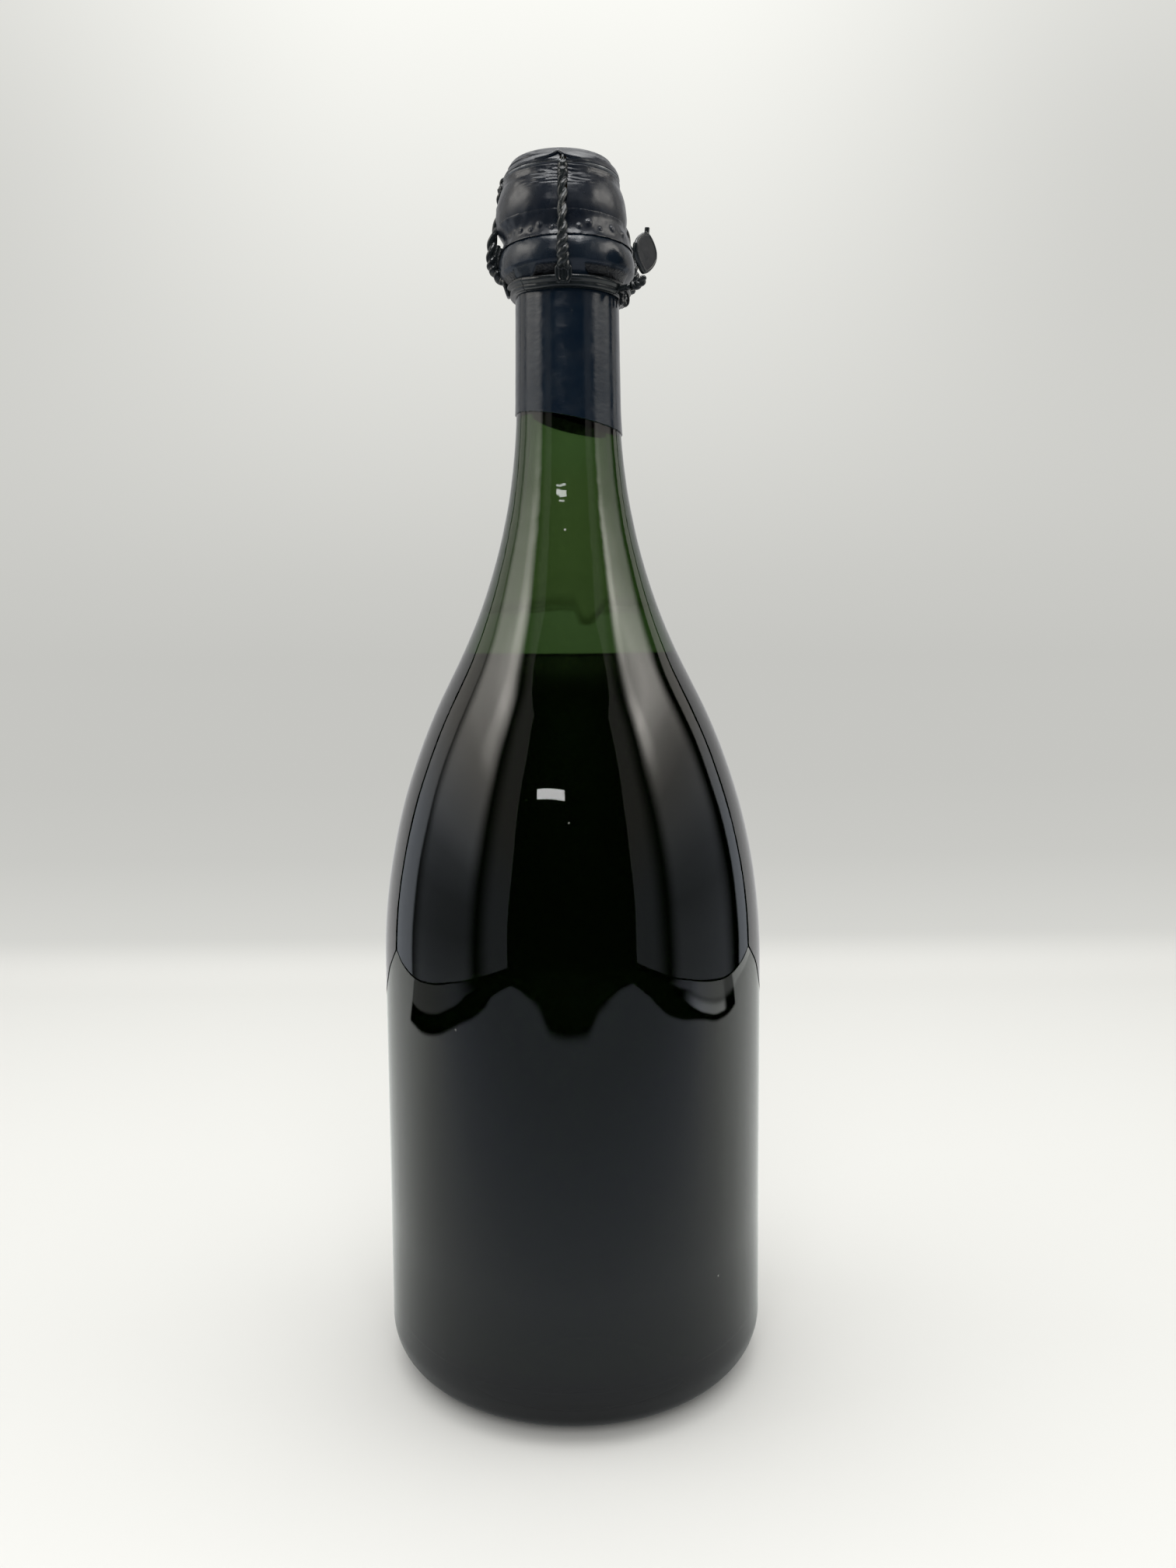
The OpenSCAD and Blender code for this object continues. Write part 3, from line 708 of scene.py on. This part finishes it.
def makeDrips():
    h = hoodShape
    drips = []
    for turn, radius, length in ((63, 14.6, 2.6), (72, 14.3, 2.0), (84, 14.2, 1.5)):
        top = mouth + h["beltLow"][1] - 0.3
        line = [upright(turn, radius, top - length * k / 5) for k in range(5)]
        drips.append(wireAlong("drip", line, 0.6, radii=[1.2, 0.95, 0.85, 0.95, 1.05]))
        drips.append(waxBlob("dripEnd", line[-1], 0.62))
    heart = upright(73, 14.8, mouth - 13.7)  # end of the wire, bent into a small eye
    eye = [heart + Vector((0.62 * math.cos(a), 0.2 * math.cos(a), 1.5 * math.sin(a)))
           for a in (math.radians(20 * k) for k in range(18))]
    drips.append(wireAlong("wireEnd", eye, 0.34, closed=True))
    drips = fuse("waxDrips", drips, 0.12, 3)
    dress(drips, "leg_right", "black_wax", wireWaxFinish, "wax_drips")


makeClosing()
makeDrips()
print("closing loop and drips made")

# Head

def creaseHead(wax):  # fine level folds beside the front leg, and swellings of the ring wire on both sides of it
    for vertex in wax.data.vertices:
        x, y, z = vertex.co / mm
        x += hoodShape["headShift"]
        r = math.hypot(x, y)
        if r < 13 or vertex.normal.x * x + vertex.normal.y * y < 0:
            continue
        turn = math.degrees(math.atan2(x, -y)) - hoodShape["turns"]["front"]
        high = z - mouth
        near = 1 - smoothStep(abs(turn), 14, 40)
        folds = smoothStep(high, 8.6, 10.2) * (1 - smoothStep(high, 12.6, 13.8)) * near
        lift = 0.24 * folds * noise.noise(Vector((turn / 11, high / 0.5, 3)))
        swell = math.exp(-((abs(turn) - 17) / 11) ** 2) * math.exp(-((high - 15.4) / 0.75) ** 2)
        lift += 0.42 * swell - 0.2 * math.exp(-((high - 14.45) / 0.3) ** 2) * (1 - smoothStep(abs(turn), 60, 110))
        vertex.co += Vector((x / r, y / r, 0)) * lift * mm
        vertex.co.x += 0.35 * smoothStep(high, 14.6, 17.4) * mm


def makePool():  # wax that ran down from the head onto the shoulder of the collar
    outline = [(12.9, 1.0), (13.5, 0.45), (14.45, -0.24), (15.1, -0.9), (15.6, -1.72), (15.85, -2.35), (16.08, -2.2),
               (15.85, -1.7), (15.62, -1.1), (15.45, -0.4), (15.35, 0.5), (15.38, 1.4), (15.5, 2.3), (15.75, 3.2), (15.85, 3.8),
               (15.4, 3.4), (14.6, 2.0), (13.6, 1.3), (12.9, 1.0)]
    section = evenLine([(r, mouth + z) for r, z in outline], 0.6)
    pool, behind = lathe("pool", section, 106, -72, 88), lathe("poolBehind", section, 132, 84, 292)
    for piece in (pool, behind):
        for vertex in piece.data.vertices:
            share = smoothStep(vertex.co.z / mm, mouth, mouth + 3.4)
            vertex.co.x -= share * hoodShape["headShift"] * mm
    ruffle(behind, 3, 0.25, 0.65, detail=1)
    parts = [pool]
    lumps = [(-62, 14.7, -0.2, 0.9), (-53, 14.8, 0.3, 0.9), (-44, 14.75, -0.1, 1.0), (-33, 14.95, -0.6, 0.8), (-24, 14.7, 0.4, 1.1), (-13, 14.95, -0.5, 0.8), (11, 14.85, -0.3, 0.9),
             (20, 14.7, 0.6, 1.1), (31, 14.9, -0.5, 0.85), (44, 14.6, 0.2, 1.1), (60, 14.7, 0.1, 1.05)]
    for turn, r, z, size in lumps:
        parts.append(waxBlob("lump", upright(turn, r, mouth + z), size))
    pool = fuse("pool", parts, 0.2, 7)
    ruffle(pool, 3, 0.3, 0.65, detail=1)
    return pool, behind


def makeRingBend():  # the ring wire rises beside the front leg and crosses over the cap's rim
    front = hoodShape["turns"]["front"]
    parts = []
    for sign in (-1, 1):
        line = [(23, 14.0, 15.4), (13, 14.1, 15.6), (7, 13.9, 16.1), (3, 13.4, 16.8), (0.5, 12.8, 17.3), (0, 12.1, 17.7)]
        path = [splinePoint([(p[1], p[2]) for p in line], i / 20) for i in range(21)]
        turns = [splinePoint([(p[0], 0) for p in line], i / 20).x for i in range(21)]
        points = [upright(front + sign * t - 0.6 * sign, p.x, mouth + p.y) for t, p in zip(turns, path)]
        parts.append(wireAlong("bend", points, 0.42))
    bend = fuse("bend", parts, 0.12, 3)
    for vertex in bend.data.vertices:
        vertex.co.x -= hoodShape["headShift"] * mm
    return bend


def makeHeadWax():
    t = waxShape["head"]
    head = 15.5
    cap = 13
    capTop = 17.5

    def bulge(grow):
        return (bezierPoints((12.4 + grow, 0.7), (head - 0.9 + grow, 1.4), (head + grow, 3.4), (head + grow, 5.5), 18)
                + bezierPoints((head + grow, 5.5), (head + grow, 8), (head - 0.7 + grow, 10.4),
                               (head - 1.5 + grow, 12.2), 18)[1:])
    inner = [(0, capTop + 0.4), (cap - 3.5, capTop + 0.4), (cap - 2.5, capTop), (cap - 0.9, capTop), (cap, capTop - 0.9),
             (cap, 15.4), (head - 1.6, 12.6)]
    inner += bulge(0)[::-1]
    outer = [(12.4, 0.6)] + bulge(t)
    outer += [(14.3, 13.2), (14.3, 13.9), (14.0, 14.4), (14.2, 15), (13.9, 15.8), (13.4, 16.6), (12.9, 17.3), (12.5, 17.9),
              (12.1, 18.3), (11, 18.3), (0, 18.5)]
    line = [(r, mouth + z) for r, z in inner + evenLine(outer, 0.3)]
    wax = lathe("headWax", line, steps=224)
    bpy.ops.object.mode_set(mode="EDIT")
    bpy.ops.mesh.select_all(action="SELECT")
    bpy.ops.transform.translate(value=(-hoodShape["headShift"] * mm, 0, 0))
    bpy.ops.object.mode_set(mode="OBJECT")

    def skin(vertex):  # how freely the wax may wrinkle
        away = vertex.normal.x * (vertex.co.x + hoodShape["headShift"] * mm) + vertex.normal.y * vertex.co.y
        z = vertex.co.z / mm - mouth
        return 1 if (away > 0 or vertex.normal.z > 0.3) and z < 18 else 0
    weigh(wax, "skin", skin)
    ruffle(wax, 6, 0.3, 0.8, "skin", 2)
    ruffle(wax, 2.4, 0.06, 0.7, "skin", 1)
    creaseHead(wax)

    beds = []
    for side, turn in hoodShape["turns"].items():
        path = [splinePoint(legLine(side), i / 20) for i in range(11)]
        beds.append(wireAlong("bed", [upright(turn, p.x, mouth + p.y) for p in path], 1.2))
        pocket = [upright(turn, hingeRadius(turn), mouth + 14.7, s) for s in (-0.75, 0.75)]
        beds.append(wireAlong("pocket", pocket, 1.8))
    bed = fuse("beds", beds, 0.2, 1)
    applyModifier(wax, "BOOLEAN", object=bed, operation="DIFFERENCE", solver="EXACT")
    bpy.data.objects.remove(bed)
    activate(wax, *makePool(), makeRingBend())
    bpy.ops.object.join()
    activate(wax)
    bpy.ops.object.shade_smooth_by_angle(angle=math.radians(45))
    dress(wax, "cork_and_cap", "black_wax", headWaxFinish, "head_wax")


makeHeadWax()
carried = {
    "cork_body": ("cork_grain", corkGrain()), "cork_disc_upper": ("natural_cork", naturalCork()),
    "cap_plate": ("cap_metal", metal("capMetal", (0.3, 0.31, 0.33, 1), 0.3)),
    "hood_top_ring": ("waxed_wire", metal("hoodWire", (0.2, 0.21, 0.22, 1), 0.35)),
}
carried["cork_disc_lower"] = carried["cork_disc_upper"]
for name, (slot, finish) in carried.items():
    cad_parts[name].material_slots[0].material = finish
print("head made")

# Studio

def glow(name, stops, low, high, letter="Z"):  # a light surface whose strength follows one coordinate
    f = Finish(name)
    share = f.step(f.axis(letter), low, high, "LINEAR")
    strength = f.node("ShaderNodeValToRGB", {"stops": [(p, (v, v, v, 1)) for p, v in stops]}, {0: share})
    return f.close(f.node("ShaderNodeEmission", None, {"Color": strength, "Strength": 1}))


def seenBy(piece, **rays):  # which rays meet a stage piece
    for kind in ("camera", "diffuse", "glossy", "transmission", "shadow", "volume_scatter"):
        setattr(piece, "visible_" + kind, rays.get(kind, False))


def stagePanel(name, corner, across, up, finish):
    deselectAll()
    bpy.ops.mesh.primitive_plane_add(size=1)
    panel = bpy.context.object
    panel.name = name
    corner, across, up = Vector(corner), Vector(across), Vector(up)
    for vertex in panel.data.vertices:
        vertex.co = corner + across * (vertex.co.x + 0.5) + up * (vertex.co.y + 0.5)
    panel.data.materials.append(finish)
    seenBy(panel, glossy=True)
    return panel


bpy.context.scene.view_settings.view_transform = "Standard"

cameraSpot = {"distance": 0.3175, "height": 0.178, "pitch": 5.54, "yaw": -0.75, "roll": -0.45, "lens": 28.93}
bpy.ops.object.camera_add(location=(0, -cameraSpot["distance"], cameraSpot["height"]))
camera = bpy.context.object
camera.data.lens = cameraSpot["lens"]
camera.data.sensor_width = 36
camera.data.clip_start = 0.01
turned = (Matrix.Rotation(math.radians(cameraSpot["yaw"]), 4, "Z")
          @ Matrix.Rotation(math.radians(90 - cameraSpot["pitch"]), 4, "X")
          @ Matrix.Rotation(math.radians(cameraSpot["roll"]), 4, "Z"))
camera.rotation_euler = turned.to_euler()
bpy.context.scene.camera = camera

world = bpy.data.worlds.new("dimRoom")
bpy.context.scene.world = world
world.use_nodes = True
world.node_tree.nodes["Background"].inputs["Color"].default_value = (0.0015, 0.0015, 0.002, 1)


def clothGlow():
    # the walls glow with painted light whose strength changes with height; only the floor is paper lit by the lamps
    f = Finish("clothGlow")
    height, side = f.axis("Z"), f.axis("X")
    stops = [(0.0, 0.70), (0.018, 0.655), (0.054, 0.585), (0.1, 0.56), (0.18, 0.56), (0.234, 0.6), (0.325, 0.692),
             (0.413, 0.772), (0.5, 0.86), (0.584, 0.95), (0.75, 1.1), (1.0, 1.2)]
    ramp = f.node("ShaderNodeValToRGB", {"stops": [(p, (v, v, v * 0.955, 1)) for p, v in stops]}, {0: height})
    # painted shade: the walls darken toward the sides, from about 0.15 m up
    sideShade = f.step(f.node("ShaderNodeMath", {"operation": "ABSOLUTE"}, {0: side + 0.02}), 0.08, 0.42) * f.step(height, 0.15, 0.55)
    ramp = f.mix(sideShade * 0.26, ramp, (0, 0, 0, 1))
    soft = f.node("ShaderNodeEmission", None, {"Color": ramp})
    paper = f.node("ShaderNodeBsdfDiffuse", None, {"Color": (0.68, 0.677, 0.664, 1)})
    return f.close(f.node("ShaderNodeMixShader", None, {0: f.step(height, 0.0003, 0.016), 1: paper, 2: soft}))


room = {"half": 0.6, "back": 0.52, "front": -0.7, "height": 1.2, "round": 0.16}
deselectAll()
bpy.ops.mesh.primitive_cube_add(size=1)
cove = bpy.context.object
cove.name = "paleCove"
for vertex in cove.data.vertices:
    vertex.co = Vector((room["half"] * (1 if vertex.co.x > 0 else -1),
                        room["back"] if vertex.co.y > 0 else room["front"],
                        room["height"] if vertex.co.z > 0 else 0))
bpy.ops.object.mode_set(mode="EDIT")
bpy.ops.mesh.select_all(action="SELECT")
bpy.ops.mesh.flip_normals()
bpy.ops.mesh.bevel(offset=room["round"], segments=24)
bpy.ops.object.mode_set(mode="OBJECT")
bpy.ops.object.shade_smooth()
cove.data.materials.append(clothGlow())
seenBy(cove, camera=True, diffuse=True, transmission=True, shadow=False)

# What the glossy surfaces see: side walls, the back sheet, the floor sheet, a ceiling and one far lamp

def sideGlow(name, stops, streak, behind):  # bright band that fades to a dim wall, by place on the wall
    f = Finish(name)
    depth, height = f.axis("Y"), f.axis("Z")
    ramp = f.node("ShaderNodeValToRGB", {"stops": [(p, (v / 5, v / 5, v / 5, 1)) for p, v in stops]}, {0: height})
    band = f.step(depth, -0.32, -0.22) * (1 - f.step(depth, 0.05, 0.16))
    edge = f.step(depth, streak - 0.05, streak) * (1 - f.step(depth, streak + 0.03, streak + 0.09)) * f.step(height, 0.36, 0.46)
    level = f.node("ShaderNodeSeparateColor", None, {0: ramp}) * 5 * band * (1 + 0.5 * edge)
    level = level + 0.72 * f.step(depth, behind, behind + 0.025) + 0.25 * (1 - f.step(depth, -0.45, -0.3))
    cool, warm = (0.93, 1.0, 1.1, 1), (1.04, 1, 0.93, 1)
    colour = f.mix(f.step(height, 0.15, 0.4), cool, warm)
    return f.close(f.node("ShaderNodeEmission", None, {"Color": colour, "Strength": level}))


leftStops = [(0.0, 0.34), (0.08, 0.22), (0.14, 0.24), (0.2, 0.42), (0.25, 0.85), (0.33, 1.2), (0.38, 1.45), (0.42, 2.0),
             (0.5, 2.6), (0.57, 3.8), (0.64, 3.2), (0.72, 0.3), (0.95, 0.1)]
rightStops = [(0.0, 0.36), (0.08, 0.34), (0.14, 0.27), (0.2, 0.36), (0.27, 0.58), (0.34, 0.7), (0.38, 1.05), (0.42, 1.5),
              (0.47, 2.7), (0.54, 4.1), (0.63, 2.9), (0.72, 0.4), (0.95, 0.1)]
for name, sign, stops, streak, behind in (("leftWall", -1, leftStops, -0.19, 0.13), ("rightWall", 1, rightStops, -0.24, 0.19)):
    stagePanel(name, (sign * 0.46, -0.62, 0.002), (0, 0.96, 0), (0, 0, 0.9), sideGlow(name, stops, streak, behind))
stagePanel("backSheet", (-0.445, 0.36, 0), (0.89, 0, 0), (0, 0, 1.0),
           glow("backGlow", [(0.0, 0.75), (0.2, 0.55), (0.6, 0.7), (1.0, 0.9)], 0, 1))


def sheetGlow():  # the floor as the bottle mirrors it, a glowing sheet with painted shade: dim in front, bright behind, darker close to the bottle, with soft edges
    f = Finish("sheetGlow")
    side, depth = f.axis("X"), f.axis("Y")
    stops = [(0.0, 0.33), (0.16, 0.35), (0.24, 0.4), (0.3, 0.46), (0.35, 0.53), (0.38, 0.6), (0.43, 0.71), (0.47, 0.79),
             (0.5, 0.86), (0.55, 0.94), (0.62, 0.97), (1.0, 0.85)]
    ramp = f.node("ShaderNodeValToRGB", {"stops": [(p, (v, v, v, 1)) for p, v in stops]}, {0: f.step(depth, -0.42, 0.42, "LINEAR")})
    away = f.node("ShaderNodeVectorMath", {"operation": "LENGTH"}, {0: f.place}, 1)
    across = f.node("ShaderNodeMath", {"operation": "ABSOLUTE"}, {0: side + 0.02})
    front = depth + 0.365 + 0.04 * f.step(across, 0.055, 0.13) + 0.045 * f.step(across, 0.13, 0.26)
    leftEdge = side + 0.346 - 0.03 * (1 - f.step(depth, -0.28, -0.12))
    rightEdge = 0.3 + 0.068 * f.step(depth, -0.34, -0.05) - side
    inside = f.step(leftEdge, -0.004, 0.006) * f.step(rightEdge, -0.004, 0.004)
    beyond = f.step(depth, 0.112, 0.124)  # no gap between sheet and walls from here on
    inside = (1 - (1 - inside) * (1 - beyond)) * f.step(front, -0.012, 0.014)
    left = (1 - f.step(side, -0.39, -0.382)) * f.step(depth, -0.28, -0.12) * (1 - beyond) * 0.3
    right = f.step(side, 0.379, 0.384) * f.step(depth, -0.2, -0.08) * (1 - f.step(depth, 0.03, 0.06))
    glint = right * (1.5 - 1.1 * f.step(side, 0.395, 0.41)) + f.step(side, 0.4, 0.42) * 0.4 * f.step(depth, -0.3, -0.2)
    # painted contact shadow: the sheet darkens close to the bottle
    close = f.node("ShaderNodeValToRGB", {"stops": [(p, (v, v, v, 1)) for p, v in (
        (0.29, 0.03), (0.375, 0.25), (0.417, 0.5), (0.5, 0.7), (0.92, 1.0))]}, {0: f.step(away, 0, 0.12, "LINEAR")})
    contactShadow = f.node("ShaderNodeSeparateColor", None, {0: close})
    level = f.node("ShaderNodeSeparateColor", None, {0: ramp}) * inside * contactShadow + left + glint
    colour = f.mix(f.step(depth, -0.2, 0.02), (0.93, 0.99, 1.16, 1), (0.98, 1.01, 0.97, 1))
    return f.close(f.node("ShaderNodeEmission", None, {"Color": colour, "Strength": level}))


stagePanel("floorSheet", (-0.459, -0.56, -0.0004), (0.918, 0, 0), (0, 0.91, 0), sheetGlow())
stagePanel("ceiling", (-0.36, -0.3, 0.92), (0.72, 0, 0), (0, 0.68, 0), glow("ceilingGlow", [(0, 3.4), (1, 3.4)], 0, 1))
stagePanel("overheadStrip", (-0.25, -0.44, 0.93), (0.5, 0, 0), (0, 0.13, 0), glow("stripGlow", [(0, 16), (1, 16)], 0, 1))
stagePanel("farLamp", (-0.62, -1.3, 0.86), (0.5, -0.12, 0.02), (0, 0.02, 0.07), glow("lampGlow", [(0, 10), (1, 10)], 0, 1))

for name, spot, size, power in (("topLight", (0, 0.05, 1.0), 0.9, 3.6), ("leftLight", (-0.55, 0, 0.6), 0.5, 1.1),
                                ("rightLight", (0.55, 0, 0.6), 0.5, 1.0), ("frontLight", (0, -0.55, 0.4), 0.4, 1.5)):
    bpy.ops.object.light_add(type="AREA", location=spot)
    lamp = bpy.context.object
    lamp.name = name
    lamp.data.energy = power
    lamp.data.size = size
    lamp.rotation_euler = (Vector((0, 0, 0.12)) - Vector(spot)).to_track_quat("-Z", "Y").to_euler()
    seenBy(lamp, diffuse=True, shadow=True)
print("studio made")
